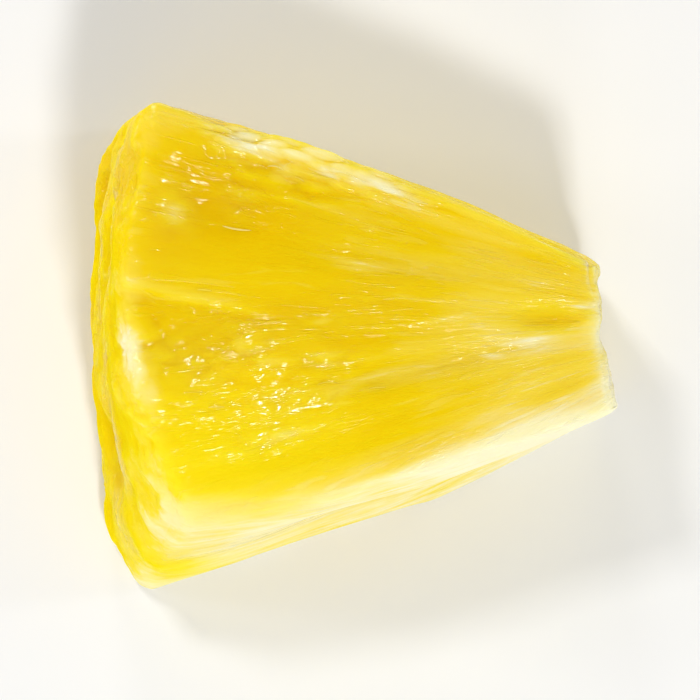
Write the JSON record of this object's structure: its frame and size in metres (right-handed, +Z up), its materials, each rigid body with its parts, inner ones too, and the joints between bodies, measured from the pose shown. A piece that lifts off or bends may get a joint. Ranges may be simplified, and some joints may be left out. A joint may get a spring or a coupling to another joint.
{
  "type": "pineapple chunk",
  "caption": "Wedge-shaped chunk of fresh peeled pineapple with a flat underside, fibres fanning out from its narrow core side and shallow pits on its wide outer side.",
  "frame": {"origin": "middle of the bounding box at the flat underside that the chunk rests on", "axes": "+Z up, square to the cut across the fruit; +X from the wide peeled side to the narrow core side, along the fibres; +Y across the fibres"},
  "size_m": [0.0408, 0.038, 0.0246],
  "materials": {
    "flesh": null
  },
  "bodies": {
    "root": {"pineapple_chunk": "flesh"}
  },
  "joints": []
}
